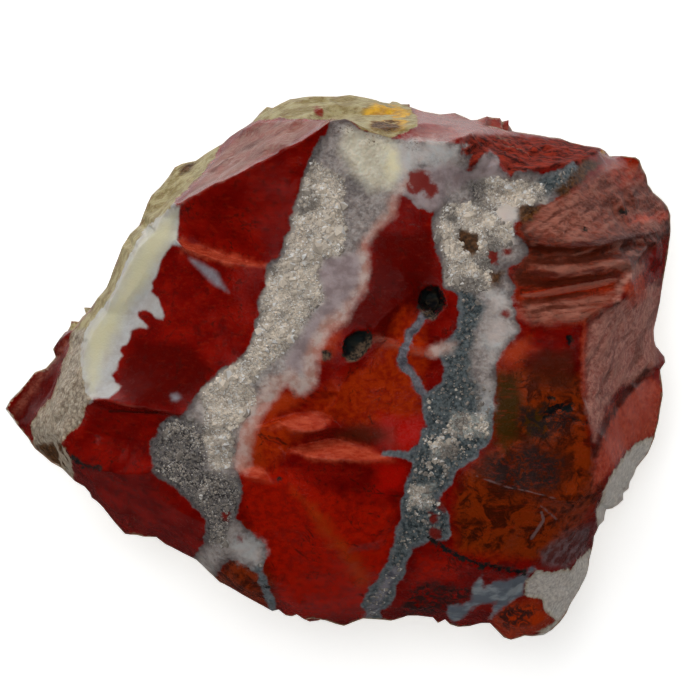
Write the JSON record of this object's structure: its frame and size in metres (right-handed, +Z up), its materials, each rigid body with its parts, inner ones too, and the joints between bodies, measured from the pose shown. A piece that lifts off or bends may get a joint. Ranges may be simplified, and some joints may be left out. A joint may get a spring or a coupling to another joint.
{
  "type": "red jasper hand specimen",
  "caption": "Rough chunk of deep red jasper crossed by pale quartz veins, broken face up, with ledges, pits and a knobbly pale rind, resting on a small flat spot.",
  "frame": {"origin": "middle of the bounding box in x and y, on the surface that the stone lies on", "axes": "+Z up out of the broken face, shortest extent; +X along the longest extent, from the pointed left tip to the right side; +Y towards the picture's top edge"},
  "size_m": [0.0834, 0.0684, 0.0339],
  "materials": {
    "jasper": "fresh break with a waxy shine, pale quartz veins and a dull pale rind"
  },
  "bodies": {
    "root": {"jasper_stone": "jasper"}
  },
  "joints": []
}
